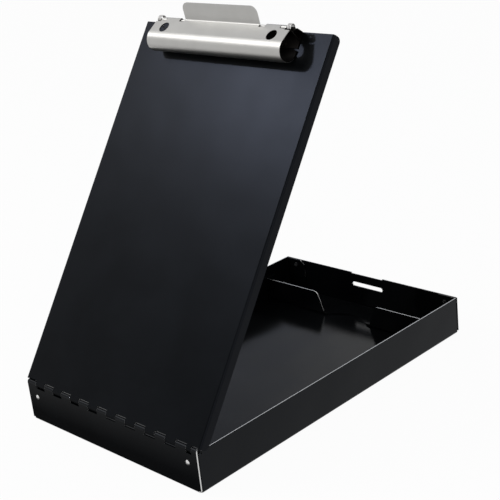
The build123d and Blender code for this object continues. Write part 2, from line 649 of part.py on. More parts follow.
export_step(latch_strip.part, "parts/latch_strip.step")

with BuildPart() as latch_rivets:
    for side in (-1, 1):
        seat = Plane(origin=clip_point(side * STRIP_RIVET_X, STRIP_RIVET_E, CLIP_SHEET), z_dir=LID_N)
        add(rivet_at(seat, CLIP_SHEET + SHEET + LATCH_SHEET))
latch_rivets.part.label = "latch_rivets"
export_step(latch_rivets.part, "parts/latch_rivets.step")

# The tongue turns about the middle of the steel, halfway across its gap to the strip.
FLEX_E = -STRIP_OVERHANG - TONGUE_GAP / 2
flex_place = lid_point(0, LID_END - FLEX_E, UNDERSIDE - LATCH_SHEET / 2)
PULLED = radians(LID_ANGLE + LATCH_PULL)
tongue_side = Plane(origin=flex_place, x_dir=(0, -cos(PULLED), -sin(PULLED)), z_dir=-ALONG_X)
TONGUE_IN = -TONGUE_OFFSET - FLEX_E
TONGUE_OUT = TONGUE_IN - LATCH_SHEET
LIP_Y = LATCH_SHEET / 2 - TONGUE_DROP
BEAD_Y = LATCH_SHEET / 2 - BEAD_DROP

with BuildPart() as latch_tongue:
    with BuildSketch(tongue_side):
        with BuildLine():
            FilletPolyline(
                (-TONGUE_GAP / 2, LATCH_SHEET / 2),
                (TONGUE_OUT, LATCH_SHEET / 2),
                (TONGUE_OUT, LIP_Y),
                (TONGUE_OUT - LIP_FLARE, LIP_Y - LIP_DROP),
                radius=TONGUE_FOLD,
            )
            offset(amount=LATCH_SHEET, side=Side.LEFT)
        make_face()
    extrude(amount=LATCH_WIDTH / 2, both=True)
    with BuildSketch(tongue_side):
        with BuildLine():
            ThreePointArc(
                (TONGUE_IN, BEAD_Y + BEAD_HEIGHT / 2),
                (TONGUE_IN + BEAD_REACH, BEAD_Y),
                (TONGUE_IN, BEAD_Y - BEAD_HEIGHT / 2),
            )
            Polyline(
                (TONGUE_IN, BEAD_Y + BEAD_HEIGHT / 2),
                (TONGUE_OUT, BEAD_Y + BEAD_HEIGHT / 2),
                (TONGUE_OUT, BEAD_Y - BEAD_HEIGHT / 2),
                (TONGUE_IN, BEAD_Y - BEAD_HEIGHT / 2),
            )
        make_face()
    extrude(amount=BEAD_WIDTH / 2, both=True)
    # the bead is pressed, so its back is hollow
    with BuildSketch(tongue_side):
        with BuildLine():
            hollow = BEAD_HEIGHT / 2 - LATCH_SHEET
            ThreePointArc(
                (TONGUE_OUT, BEAD_Y + hollow),
                (TONGUE_IN + BEAD_REACH - LATCH_SHEET, BEAD_Y),
                (TONGUE_OUT, BEAD_Y - hollow),
            )
            Line((TONGUE_OUT, BEAD_Y + hollow), (TONGUE_OUT, BEAD_Y - hollow))
        make_face()
    extrude(amount=BEAD_WIDTH / 2 - LATCH_SHEET, both=True, mode=Mode.SUBTRACT)
latch_tongue.part.label = "latch_tongue"
export_step(latch_tongue.part, "parts/latch_tongue.step")
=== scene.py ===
# %% [markdown]
# # A clipboard whose board is the lid of a storage tray
#
# The real object is folded from thin aluminium sheet with a black finish. A tray about
# as large as a sheet of paper carries a lid on a long rolled hinge, and the lid is the
# writing board. A wide nickel-plated lever clip sits at its free end. The photograph
# shows the lid standing open on a white background.
#
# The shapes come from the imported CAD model, which is already in metres. This script
# gives them their finishes, and adds the light, the floor and the camera.

# %% The frame
import bpy
import numpy as np
from mathutils import Matrix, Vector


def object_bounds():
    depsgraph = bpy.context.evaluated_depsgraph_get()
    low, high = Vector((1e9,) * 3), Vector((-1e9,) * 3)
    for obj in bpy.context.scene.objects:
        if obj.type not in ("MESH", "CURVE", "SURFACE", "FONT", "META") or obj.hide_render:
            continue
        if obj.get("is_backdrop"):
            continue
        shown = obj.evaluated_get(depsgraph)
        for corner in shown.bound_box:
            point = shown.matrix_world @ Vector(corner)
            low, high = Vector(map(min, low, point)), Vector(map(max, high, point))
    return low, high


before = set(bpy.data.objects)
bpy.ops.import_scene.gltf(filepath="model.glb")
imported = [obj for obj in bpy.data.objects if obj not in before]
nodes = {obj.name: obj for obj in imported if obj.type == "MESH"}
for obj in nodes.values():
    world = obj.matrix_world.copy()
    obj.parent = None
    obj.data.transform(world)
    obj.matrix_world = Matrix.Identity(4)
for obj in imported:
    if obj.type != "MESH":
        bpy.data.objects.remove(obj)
cad_box = [list(corner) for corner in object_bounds()]
scene = bpy.context.scene
print("nodes:", ", ".join(sorted(nodes)))
print("size in millimetres:", [round(1000 * (b - a)) for a, b in zip(*cad_box)])

# %% [markdown]
# ## The camera
#
# A camera is a place, three directions and a lens. These were found by fitting the
# corners of the tray and the lid to the picture. Blender's camera looks along its own
# -Z with +Y up, so the three directions become the columns of its matrix. A helper
# such as a Track To constraint would also aim it, but not give the slight roll.

# %% The camera
CAMERA_PLACE = np.array([0.77026, -0.72202, 0.52562])
CAMERA_RIGHT = np.array([0.71455, 0.69183, -0.10386])
CAMERA_DOWN = np.array([0.17572, -0.32118, -0.93057])
CAMERA_FORWARD = np.array([-0.67716, 0.64669, -0.35107])
SENSOR = 36.0
LENS = 85.615

camera_data = bpy.data.cameras.new("camera")
camera_data.sensor_width = SENSOR
camera_data.lens = LENS
camera_data.clip_start = 0.02
camera_data.clip_end = 60.0
camera = bpy.data.objects.new("camera", camera_data)
camera_axes = np.eye(4)
camera_axes[:3, 0] = CAMERA_RIGHT
camera_axes[:3, 1] = -CAMERA_DOWN
camera_axes[:3, 2] = -CAMERA_FORWARD
camera_axes[:3, 3] = CAMERA_PLACE
camera.matrix_world = Matrix(camera_axes.tolist())
scene.collection.objects.link(camera)
scene.camera = camera
print("field of view in degrees:", round(2 * np.degrees(np.arctan(SENSOR / 2 / LENS)), 2))

# %% [markdown]
# ## Helpers for materials
#
# A finish is a small graph of nodes. `put` adds one node and fills its sockets: a plain
# value is set on the socket, and another node's output is linked to it. With it a graph
# reads as a list of steps, which is easier to follow than separate calls for making,
# setting and linking. The sums, tests and ramps that every finish needs are built on it.

# %% Helpers for node graphs
def put(tree, kind, settings=None, **inputs):
    """Adds a node. `settings` are its own options and `inputs` its sockets, by name.

    A socket's name is written with _ for a space, and a repeated name takes a number
    from 0, as in Value_0 and Value_1.
    """
    made = tree.nodes.new(kind)
    for name, value in (settings or {}).items():
        setattr(made, name, value)
    for name, value in inputs.items():
        words = name.split("_")
        place = int(words.pop()) if words[-1].isdigit() else 0
        title = " ".join(words)
        socket = [s for s in made.inputs if s.name == title and s.enabled][place]
        if isinstance(value, bpy.types.NodeSocket):
            tree.links.new(value, socket)
        else:
            socket.default_value = value
    return made


def maths(tree, operation, *values):
    """The result of a Math node on one, two or three values."""
    sockets = {f"Value_{place}": value for place, value in enumerate(values)}
    return put(tree, "ShaderNodeMath", {"operation": operation}, **sockets).outputs[0]


def vector_maths(tree, operation, *vectors):
    """The result of a Vector Math node, which is a number for a dot product or a length."""
    sockets = {f"Vector_{place}": vector for place, vector in enumerate(vectors)}
    made = put(tree, "ShaderNodeVectorMath", {"operation": operation}, **sockets)
    return made.outputs["Value" if operation in ("DOT_PRODUCT", "LENGTH") else "Vector"]


def parts_of(tree, vector):
    """The x, y and z of a vector."""
    return put(tree, "ShaderNodeSeparateXYZ", {}, Vector=vector).outputs[:]


def ramp(tree, factor, low, high):
    """A value that goes from low to high as the factor goes from 0 to 1."""
    made = put(
        tree, "ShaderNodeMapRange", {},
        Value=factor, From_Min=0.0, From_Max=1.0, To_Min=low, To_Max=high,
    )
    return made.outputs["Result"]


def soft_step(tree, value, start, full):
    """A soft step from 0, where the value is at `start`, to 1, where it is at `full`."""
    made = put(
        tree, "ShaderNodeMapRange", {"interpolation_type": "SMOOTHSTEP"},
        Value=value, From_Min=start, From_Max=full, To_Min=0.0, To_Max=1.0,
    )
    return made.outputs["Result"]


print("helpers for nodes: put, maths, vector_maths, parts_of, ramp, soft_step")

# %% [markdown]
# ## Shared effects as node groups
#
# Wear, grain and brushing appear in several finishes. A node group is built once and
# placed in each material, and it puts out plain masks or values that the material then
# turns into colour or roughness. Copying the nodes would do the same, but a change would
# have to be made in every copy.

# %% Helpers for node groups
FLOAT = "NodeSocketFloat"
VECTOR = "NodeSocketVector"


def new_group(name, ins, outs):
    """A shader node group with named float or vector sockets, and its two end nodes."""
    tree = bpy.data.node_groups.new(name, "ShaderNodeTree")
    for title, kind, value in ins:
        socket = tree.interface.new_socket(title, in_out="INPUT", socket_type=kind)
        if value is not None:
            socket.default_value = value
    for title, kind in outs:
        tree.interface.new_socket(title, in_out="OUTPUT", socket_type=kind)
    start = tree.nodes.new("NodeGroupInput")
    end = tree.nodes.new("NodeGroupOutput")
    return tree, start, end


def use(tree, group, **inputs):
    """Places a node group in a material."""
    return put(tree, "ShaderNodeGroup", {"node_tree": group}, **inputs)


print("helpers for groups: new_group, use")

# %% [markdown]
# ## Bare edges
#
# Sheet metal loses its finish first on its edges. The Bevel node gives the normal that
# a slightly rounded edge would have, so the more it departs from the true normal, the
# nearer the point is to an edge. Painting a mask by hand would also work, but it would
# not follow the model when a size changes. A noise breaks the line up, because no real
# edge wears evenly.

# %% The group for bare edges
EDGE_RADIUS = 0.0007
EDGE_STARTS = 0.985
EDGE_FULL = 0.80


def build_edge_group():
    """Mask = soft step of (rounded normal . true normal), broken up by a noise."""
    tree, start, end = new_group(
        "bare_edge",
        [("Vector", VECTOR, None), ("Amount", FLOAT, 0.5), ("Patchiness", FLOAT, 60.0)],
        [("Mask", FLOAT)],
    )
    rounded = put(tree, "ShaderNodeBevel", {"samples": 6}, Radius=EDGE_RADIUS)
    true = put(tree, "ShaderNodeNewGeometry")
    likeness = vector_maths(
        tree, "DOT_PRODUCT", rounded.outputs["Normal"], true.outputs["True Normal"],
    )
    edge = soft_step(tree, likeness, EDGE_STARTS, EDGE_FULL)
    patches = put(
        tree, "ShaderNodeTexNoise", {},
        Vector=start.outputs["Vector"], Scale=start.outputs["Patchiness"],
        Detail=5.0, Roughness=0.65,
    )
    level = maths(tree, "SUBTRACT", 1.0, start.outputs["Amount"])
    broken = soft_step(tree, patches.outputs["Fac"], level, 1.0)
    tree.links.new(maths(tree, "MULTIPLY", edge, broken), end.inputs["Mask"])
    return tree


bare_edge = build_edge_group()
print("group:", bare_edge.name)

# %% [markdown]
# ## The grain of the black finish
#
# Close up, the black coat is a fine orange peel of a third of a millimetre, with
# slightly duller and slightly shinier patches where hands have rubbed it. Two noises at
# two scales give this: the fine one is the height for a bump, and the broad one a mask
# of the rubbed patches. An image texture would repeat; noise does not.

# %% The group for the coat's grain
PATCH_STARTS = 0.35
PATCH_FULL = 0.68


def build_grain_group():
    """Height = fine noise, Patches = broad noise."""
    tree, start, end = new_group(
        "coat_grain",
        [("Vector", VECTOR, None), ("Fineness", FLOAT, 3000.0), ("Breadth", FLOAT, 14.0)],
        [("Height", FLOAT), ("Patches", FLOAT)],
    )
    fine = put(
        tree, "ShaderNodeTexNoise", {},
        Vector=start.outputs["Vector"], Scale=start.outputs["Fineness"],
        Detail=2.0, Roughness=0.5,
    )
    broad = put(
        tree, "ShaderNodeTexNoise", {},
        Vector=start.outputs["Vector"], Scale=start.outputs["Breadth"],
        Detail=4.0, Roughness=0.6, Distortion=0.4,
    )
    patches = soft_step(tree, broad.outputs["Fac"], PATCH_STARTS, PATCH_FULL)
    tree.links.new(fine.outputs["Fac"], end.inputs["Height"])
    tree.links.new(patches, end.inputs["Patches"])
    return tree


coat_grain = build_grain_group()
print("group:", coat_grain.name)

# %% [markdown]
# ## Brushed metal
#
# Nickel plate over rolled steel keeps the lines of the rolling. A noise that is
# stretched a hundredfold along one axis looks like such lines. The group multiplies the
# place by a stretch that each material gives, so one group serves parts that lie in any
# direction.

# %% The group for brushed metal
ALONG_HINGE = (12.0, 2500.0, 2500.0)
EVEN = (900.0, 900.0, 900.0)


def build_brush_group():
    """Lines = noise on stretched coordinates, Clouds = broad noise on plain ones."""
    tree, start, end = new_group(
        "brushed_lines",
        [("Vector", VECTOR, None), ("Stretch", VECTOR, ALONG_HINGE)],
        [("Lines", FLOAT), ("Clouds", FLOAT)],
    )
    stretched = vector_maths(
        tree, "MULTIPLY", start.outputs["Vector"], start.outputs["Stretch"],
    )
    lines = put(
        tree, "ShaderNodeTexNoise", {},
        Vector=stretched, Scale=1.0, Detail=4.0, Roughness=0.6,
    )
    clouds = put(
        tree, "ShaderNodeTexNoise", {},
        Vector=start.outputs["Vector"], Scale=60.0, Detail=4.0, Roughness=0.55,
    )
    tree.links.new(lines.outputs["Fac"], end.inputs["Lines"])
    tree.links.new(clouds.outputs["Fac"], end.inputs["Clouds"])
    return tree


brushed_lines = build_brush_group()
print("group:", brushed_lines.name)

# %% [markdown]
# ## Tests on places and normals
#
# Some finishes change where one part of a piece ends and another starts. A few tests say
# where that is: each puts out 1 or 0 from a place or a normal, and a product or a maximum
# joins them. Separate materials on the faces would also do it, but the faces of a CAD
# mesh are numbered anew after every change, and a place isn't.

# %% Tests on places and normals
def above(tree, value, limit):
    """1 where the value is greater than the limit, and 0 elsewhere."""
    return maths(tree, "GREATER_THAN", value, limit)


def below(tree, value, limit):
    """1 where the value is less than the limit, and 0 elsewhere."""
    return maths(tree, "LESS_THAN", value, limit)


def size_of(tree, value):
    """The value without its sign."""
    return maths(tree, "ABSOLUTE", value)


def all_of(tree, *tests):
    """1 where every test is 1: their product."""
    result = tests[0]
    for test in tests[1:]:
        result = maths(tree, "MULTIPLY", result, test)
    return result


def any_of(tree, *tests):
    """1 where some test is 1: their maximum."""
    result = tests[0]
    for test in tests[1:]:
        result = maths(tree, "MAXIMUM", result, test)
    return result


print("tests: above, below, size_of, all_of, any_of")

# %% [markdown]
# ## Where the sheet is cut
#
# The sheet was finished before it was cut, so its cut edges are bare aluminium. On the
# real box they draw fine bright lines along the tops of the side walls, down the corner
# of the hinge wall and round the partition's cut-out. A cut edge can be told from a face
# by where it is and where it looks, so a mask needs only the place and the normal. Each
# mask below is a product of simple tests, and the largest of them wins.

# %% The mask for the tray's cut edges, with places in metres
SQUARE = 0.9
SLANTED = 0.5
WALL_X = 0.1153
WALL_TOP_Z = 0.0380
INNER_X = 0.1140
HINGE_WALL_Y = -0.1812
HINGE_WALL_Z = 0.0002
KNUCKLE_Y = -0.1765
KNUCKLE_Z = 0.0350
TAB_Y = 0.1700
TAB_TOP_Z = 0.0336
RUBBED_Z = (0.0190, 0.0295)


def tray_cuts(tree, place, normal):
    """Tops of the side walls, ends of the hinge wall and knuckles, corner tabs' edges.

    A tab's edge is bright at its top and where a hand has rubbed it, lower down.
    """
    x, y, z = parts_of(tree, place)
    nx, ny, nz = parts_of(tree, normal)
    across = size_of(tree, x)
    sideways = size_of(tree, nx)
    inner = below(tree, across, INNER_X)
    end_face = above(tree, sideways, SQUARE)
    tops = all_of(
        tree, above(tree, across, WALL_X), above(tree, z, WALL_TOP_Z), above(tree, nz, SQUARE),
    )
    ends = all_of(
        tree, end_face, below(tree, y, HINGE_WALL_Y), above(tree, z, HINGE_WALL_Z),
    )
    curls = all_of(
        tree, inner, end_face, below(tree, y, KNUCKLE_Y), above(tree, z, KNUCKLE_Z),
    )
    tab_edge = all_of(tree, inner, above(tree, sideways, SLANTED), above(tree, y, TAB_Y))
    rubbed = all_of(tree, above(tree, z, RUBBED_Z[0]), below(tree, z, RUBBED_Z[1]))
    tabs = all_of(tree, tab_edge, any_of(tree, above(tree, z, TAB_TOP_Z), rubbed))
    return any_of(tree, tops, ends, curls, tabs)


print("mask for cut edges: tray")

# %% The masks for the partition and the lid
PARTITION_Y = 0.1440
PARTITION_Z = 0.0046
LID_INNER_X = 0.1170
LID_KNUCKLE_Z = 0.0420


def partition_cuts(tree, place, normal):
    """The web's top and the rim of its cut-out, which look neither forward nor back."""
    x, y, z = parts_of(tree, place)
    nx, ny, nz = parts_of(tree, normal)
    return all_of(
        tree, below(tree, size_of(tree, ny), SLANTED),
        below(tree, y, PARTITION_Y), above(tree, z, PARTITION_Z),
    )


def lid_cuts(tree, place, normal):
    """The ends of the lid's knuckles."""
    x, y, z = parts_of(tree, place)
    nx, ny, nz = parts_of(tree, normal)
    return all_of(
        tree, below(tree, size_of(tree, x), LID_INNER_X),
        above(tree, size_of(tree, nx), SQUARE), below(tree, z, LID_KNUCKLE_Z),
    )


print("masks for cut edges: partition, lid")

# %% [markdown]
# ## The black coat
#
# The tray, the partition and the lid share one finish: a hard black with a cool tinge,
# glossier inside the tray than on the writing board. On cut and worn edges the bare
# aluminium shows, and mixing colour, roughness and metal by the same mask gives a bare
# edge all three at once. The lid's side flanges get a paler, cooler colour: a painted
# sheen, which stands in for the light that they reflect.
#
# Thin sheet is never quite flat, and a glossy floor shows it: reflections bend and
# spread. A broad noise and a slight fall of the sheet give a first bump for that, and
# the fine grain is a second bump on top of it. Bending the mesh would do the same, but
# the solids stay as they are. What is the same all over a surface stands on the shader's
# own sockets, and only what changes comes from the groups.

# %% The black coat's colours and measures
COAT = (0.0016, 0.0019, 0.0022, 1.0)
COAT_WORN = (0.0028, 0.0032, 0.0037, 1.0)
# A paler, cooler colour than the coat for the lid's flanges: a painted sheen.
FLANGE_SHEEN = (0.0085, 0.0092, 0.0112, 1.0)
BARE = (0.60, 0.60, 0.59, 1.0)
COOL = (0.80, 0.87, 1.0, 1.0)
GLOSS_SPREAD = 0.01
BARE_ROUGH = 0.36
SHEET_WAVE = 0.0009
WAVE_SCALE = 14.0
GRAIN_STRENGTH = 0.08
GRAIN_DEPTH = 0.0002


def mixed(tree, factor, first, second):
    """One colour mixed into another by a factor."""
    made = put(tree, "ShaderNodeMix", {"data_type": "RGBA"})
    tree.links.new(factor, made.inputs["Factor"])
    for socket, value in zip([s for s in made.inputs if s.type == "RGBA"], (first, second)):
        if isinstance(value, bpy.types.NodeSocket):
            tree.links.new(value, socket)
        else:
            socket.default_value = value
    return next(s for s in made.outputs if s.type == "RGBA")


def new_material(name):
    """An empty material, its tree, and the place on the piece as its Object coordinates."""
    material = bpy.data.materials.new(name)
    material.use_nodes = True
    tree = material.node_tree
    tree.nodes.clear()
    return material, tree, put(tree, "ShaderNodeTexCoord").outputs["Object"]


def sheet_bump(tree, place, dish):
    """The normal of a sheet that waves a little and falls by `dish` per metre along y."""
    wave = put(tree, "ShaderNodeTexNoise", {}, Vector=place, Scale=WAVE_SCALE, Detail=1.0)
    waved = maths(tree, "MULTIPLY", wave.outputs["Fac"], SHEET_WAVE)
    height = maths(tree, "MULTIPLY_ADD", parts_of(tree, place)[1], -dish, waved)
    made = put(tree, "ShaderNodeBump", {}, Height=height, Strength=1.0, Distance=1.0)
    return made.outputs["Normal"]


print("colours of the coat and of bare metal:", COAT[:3], BARE[:3])

# %% The black coat
def black_coat(name, cuts, wear, gloss, level, flange_sheen=None, dish=0.0):
    """The coat's material.

    `cuts` finds the cut edges and `wear` bares the others a little. `gloss` is the mean
    roughness, `level` is how strongly the coat mirrors, and `flange_sheen` is a paler, cooler
    colour for the faces that look along x, the lid's flanges: a painted sheen.
    """
    material, tree, place = new_material(name)
    normal = put(tree, "ShaderNodeNewGeometry").outputs["True Normal"]
    grain = use(tree, coat_grain, Vector=place)
    worn = use(tree, bare_edge, Vector=place, Amount=wear)
    bare = any_of(tree, worn.outputs["Mask"], cuts(tree, place, normal))
    coat = mixed(tree, grain.outputs["Patches"], COAT, COAT_WORN)
    # Painted sheen: the faces that look along x, the lid's flanges, turn paler and cooler.
    if flange_sheen is not None:
        sideways = size_of(tree, parts_of(tree, normal)[0])
        coat = mixed(tree, above(tree, sideways, SLANTED), coat, flange_sheen)
    satin = ramp(tree, grain.outputs["Patches"], gloss - GLOSS_SPREAD, gloss + GLOSS_SPREAD)
    bump = put(
        tree, "ShaderNodeBump", {},
        Height=grain.outputs["Height"], Strength=GRAIN_STRENGTH, Distance=GRAIN_DEPTH,
        Normal=sheet_bump(tree, place, dish),
    )
    shader = put(
        tree, "ShaderNodeBsdfPrincipled", {},
        Base_Color=mixed(tree, bare, coat, BARE), Metallic=bare,
        Roughness=ramp(tree, bare, satin, BARE_ROUGH),
        Specular_IOR_Level=level, Specular_Tint=COOL, Normal=bump.outputs["Normal"],
    )
    put(tree, "ShaderNodeOutputMaterial", {}, Surface=shader.outputs["BSDF"])
    return material


tray_black = black_coat("tray_black", tray_cuts, 0.30, 0.13, 0.10, dish=0.012)
lid_black = black_coat("lid_black", lid_cuts, 0.22, 0.34, 0.040, flange_sheen=FLANGE_SHEEN)
partition_black = black_coat("partition_black", partition_cuts, 0.30, 0.12, 0.08)
print("materials:", tray_black.name, lid_black.name, partition_black.name)

# %% [markdown]
# ## Painted shade inside the clip
#
# The inside of the clip's jaw gets a near-black colour, a painted shade, and so does what
# sits in its open right end: the base's ear, the rod, the spring and the nearest rivet.
# They lie in the jaw's shade, and there they are hardly more than black.
#
# The jaw is drawn from its flat and its roll. A point is inside if it is nearer to the
# roll's axis than the sheet's middle, or deeper than that under the flat. This is worked
# out in the lid's own directions: along it, and out of its writing face.

# %% The lid's directions and the jaw's shape, in metres
LID_ANGLE = np.radians(55.3)
LID_U = np.array([0.0, np.cos(LID_ANGLE), np.sin(LID_ANGLE)])
LID_N = np.array([0.0, -np.sin(LID_ANGLE), np.cos(LID_ANGLE)])
HINGE_AXIS = np.array([0.0, -0.1797, 0.0386])
LID_END = 0.3622
FACE = 0.0028


def clip_point(e, h):
    """e back from the lid's end and h above the writing face."""
    return HINGE_AXIS + LID_U * (LID_END - e) + LID_N * (FACE + h)


SHEET_MIDDLE = 0.0005
ROLL_AXIS = clip_point(0.0209, 0.0113)
ROLL_RADIUS = 0.0110
FLAT_SLOPE = np.radians(19.8)
FLAT_ALONG = LID_N * np.sin(FLAT_SLOPE) - LID_U * np.cos(FLAT_SLOPE)
FLAT_UP = LID_N * np.cos(FLAT_SLOPE) + LID_U * np.sin(FLAT_SLOPE)
print("roll axis in millimetres:", np.round(1000 * ROLL_AXIS, 1))

# %% The tests for the clip's painted shade
BACK_FACE = float(HINGE_AXIS @ LID_U) + LID_END - 0.0002
SHADED_X = 0.060
SHADED_LOW_X = 0.038


def jaw_frame(tree, place):
    """How far a place is from the roll's axis, and its distance along and over the flat."""
    moved = vector_maths(tree, "SUBTRACT", place, tuple(ROLL_AXIS))
    flattened = vector_maths(tree, "MULTIPLY", moved, (0.0, 1.0, 1.0))
    away = vector_maths(tree, "LENGTH", flattened)
    along = vector_maths(tree, "DOT_PRODUCT", flattened, tuple(FLAT_ALONG))
    height = vector_maths(tree, "DOT_PRODUCT", flattened, tuple(FLAT_UP))
    return away, along, height


def inside_jaw(tree, place):
    """1 inside the roll or under the flat, and 0 on the outside of the jaw."""
    away, along, height = jaw_frame(tree, place)
    depth = ROLL_RADIUS - SHEET_MIDDLE
    under_flat = all_of(tree, below(tree, along, 0.0), below(tree, height, depth))
    return any_of(tree, below(tree, away, depth), under_flat)


def shaded_end(tree, place):
    """inside_jaw at the right end, but 0 on the base's back face, at the lid's end."""
    x = parts_of(tree, place)[0]
    height = jaw_frame(tree, place)[2]
    low_part = all_of(tree, above(tree, x, SHADED_LOW_X), below(tree, height, 0.0))
    at_end = any_of(tree, above(tree, x, SHADED_X), low_part)
    before_back = below(tree, vector_maths(tree, "DOT_PRODUCT", place, tuple(LID_U)), BACK_FACE)
    return all_of(tree, inside_jaw(tree, place), at_end, before_back)


print("tests for the clip: inside_jaw, shaded_end")

# %% [markdown]
# ## Bright metals
#
# The clip is satin nickel and the wall rivets are plain aluminium. The springs and the
# clip's rivets are bright steel, and the hinge pin and the latch a darker one. They
# differ only in colour, roughness, the direction of the rolling lines and where a painted
# shade darkens them, so one function makes them all from a table with a row for each.

# %% The bright metals
ROUGH_SPREAD = 0.06
HIDDEN_ROUGH = 0.5
LINE_STRENGTH = 0.10
LINE_DEPTH = 0.00002


def bright_metal(name, colour, shade, rough, stretch, painted_shade_place=None, inside=None):
    """Brushed metal: colour varies to `shade` by clouds, and roughness by the lines.

    Where `painted_shade_place` finds a place in shade, the colour is `inside`: a painted shade.
    """
    material, tree, place = new_material(name)
    brushed = use(tree, brushed_lines, Vector=place, Stretch=stretch)
    tone = mixed(tree, brushed.outputs["Clouds"], colour, shade)
    satin = ramp(tree, brushed.outputs["Lines"], rough - ROUGH_SPREAD, rough + ROUGH_SPREAD)
    # Painted shade: in the places that the test finds, the colour turns near black.
    if painted_shade_place is not None:
        in_painted_shade = painted_shade_place(tree, place)
        tone = mixed(tree, in_painted_shade, tone, inside)
        satin = ramp(tree, in_painted_shade, satin, HIDDEN_ROUGH)
    bump = put(
        tree, "ShaderNodeBump", {},
        Height=brushed.outputs["Lines"], Strength=LINE_STRENGTH, Distance=LINE_DEPTH,
    )
    shader = put(
        tree, "ShaderNodeBsdfPrincipled", {},
        Base_Color=tone, Metallic=1.0, Roughness=satin, Normal=bump.outputs["Normal"],
    )
    put(tree, "ShaderNodeOutputMaterial", {}, Surface=shader.outputs["BSDF"])
    return material


NICKEL = ((0.455, 0.450, 0.436, 1.0), (0.385, 0.380, 0.366, 1.0), 0.33)
ALUMINIUM = ((0.72, 0.72, 0.71, 1.0), (0.60, 0.60, 0.59, 1.0), 0.30)
PIN_STEEL = ((0.42, 0.41, 0.40, 1.0), (0.30, 0.29, 0.28, 1.0), 0.32)
WIRE_STEEL = ((0.64, 0.63, 0.62, 1.0), (0.54, 0.53, 0.52, 1.0), 0.40)
LATCH_STEEL = ((0.32, 0.31, 0.30, 1.0), (0.22, 0.21, 0.20, 1.0), 0.30)
RIVET_STEEL = ((0.66, 0.65, 0.64, 1.0), (0.56, 0.55, 0.54, 1.0), 0.36)
# Near-black colours for the inside of the jaw and for its right end: painted shade.
JAW_PAINTED_SHADE = (0.011, 0.0100, 0.0095, 1.0)
END_PAINTED_SHADE = (0.010, 0.0088, 0.0082, 1.0)
METALS = {
    "jaw_nickel": (*NICKEL, ALONG_HINGE, inside_jaw, JAW_PAINTED_SHADE),
    "base_nickel": (*NICKEL, ALONG_HINGE, shaded_end, END_PAINTED_SHADE),
    "rivet_aluminium": (*ALUMINIUM, EVEN),
    "pin_steel": (*PIN_STEEL, ALONG_HINGE),
    "spring_steel": (*WIRE_STEEL, EVEN, shaded_end, END_PAINTED_SHADE),
    "latch_steel": (*LATCH_STEEL, EVEN),
    "rivet_steel": (*RIVET_STEEL, EVEN, shaded_end, END_PAINTED_SHADE),
}
metals = {name: bright_metal(name, *row) for name, row in METALS.items()}
print("metals:", ", ".join(metals))

# %% [markdown]
# ## Each piece gets its finish
#
# Every piece of the CAD model has one material slot. A table from pieces to finishes
# shows at a glance what is made of what, and which pieces share a finish. Choosing by a
# word in the name would be shorter, but a new piece could then get a wrong finish
# without notice.

# %% Each node gets its finish
FINISH = {
    "tray_shell": tray_black,
    "lid_plate": lid_black,
    "pen_partition": partition_black,
    "hinge_wall_rivets": metals["rivet_aluminium"],
    "latch_wall_rivets": metals["rivet_aluminium"],
    "hinge_pin": metals["pin_steel"],
    "clip_base": metals["base_nickel"],
    "clip_jaw": metals["jaw_nickel"],
    "clip_rod": metals["base_nickel"],
    "clip_rivets": metals["rivet_steel"],
    "latch_rivets": metals["rivet_steel"],
    "clip_spring_right": metals["spring_steel"],
    "clip_spring_left": metals["spring_steel"],
    "latch_strip": metals["latch_steel"],
    "latch_tongue": metals["latch_steel"],
}
for name, material in FINISH.items():
    slots = nodes[name].data.materials
    slots.clear()
    slots.append(material)
print("dressed nodes:", len(FINISH), "of", len(nodes))

# %% [markdown]
# ## The floor
#
# The object stands on plain white. The floor is a flat grid worked out from two
# parameters, and it is only a stage: it isn't part of the object. A plane from Blender's
# own menu would do as well, and a grid from a formula can later be given hills.

# %% The floor's shape
FLOOR_HALF = 9.0
FLOOR_Z = -0.0003
FLOOR_CELLS = 12


def grid_mesh(name, place, count_u, count_v):
    """A mesh of place(u, v) for u and v from 0 to 1, with count_u by count_v cells."""
    u_values = np.linspace(0, 1, count_u + 1)
    v_values = np.linspace(0, 1, count_v + 1)
    u, v = np.meshgrid(u_values, v_values, indexing="ij")
    points = np.stack(place(u, v), axis=-1).reshape(-1, 3)
    number = np.arange(points.shape[0]).reshape(count_u + 1, count_v + 1)
    corners = (number[:-1, :-1], number[1:, :-1], number[1:, 1:], number[:-1, 1:])
    faces = np.stack(corners, axis=-1).reshape(-1, 4)
    mesh = bpy.data.meshes.new(name)
    mesh.from_pydata(points.tolist(), [], faces.tolist())
    mesh.update()
    return mesh


def floor_place(u, v):
    """x and y run from -half to +half, and z is just under the object."""
    x = FLOOR_HALF * (2 * u - 1)
    y = FLOOR_HALF * (2 * v - 1)
    return x, y, np.full_like(x, FLOOR_Z)


floor = bpy.data.objects.new("floor", grid_mesh("floor", floor_place, FLOOR_CELLS, FLOOR_CELLS))
scene.collection.objects.link(floor)
floor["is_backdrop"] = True
print("floor:", 2 * FLOOR_HALF, "m square")

# %% [markdown]
# ## The floor's white
#
# The floor scatters light as pale card does, so it keeps the object's shadow. To the
# camera, in reflections and through glass it also glows, which takes it up to white, and
# more light on the object isn't needed for that.
#
# The hinge wall mirrors the floor in front of it. A strip before that wall glows less, and
# only in reflections, so that the wall turns darker toward its foot: a painted shade. A dark
# thing on the floor would do it too, but it would stand in the picture.

# %% The floor's material
CARD = (0.90, 0.90, 0.90, 1.0)
WHITE = (1.0, 1.0, 1.0, 1.0)
GLOW_SHARE = 0.96
STRIP_LEVEL = 0.08
STRIP_NEAR_Y = -0.195
STRIP_FAR_Y = -0.28
STRIP_END_X = 0.125
STRIP_WALL_Y = -0.1825


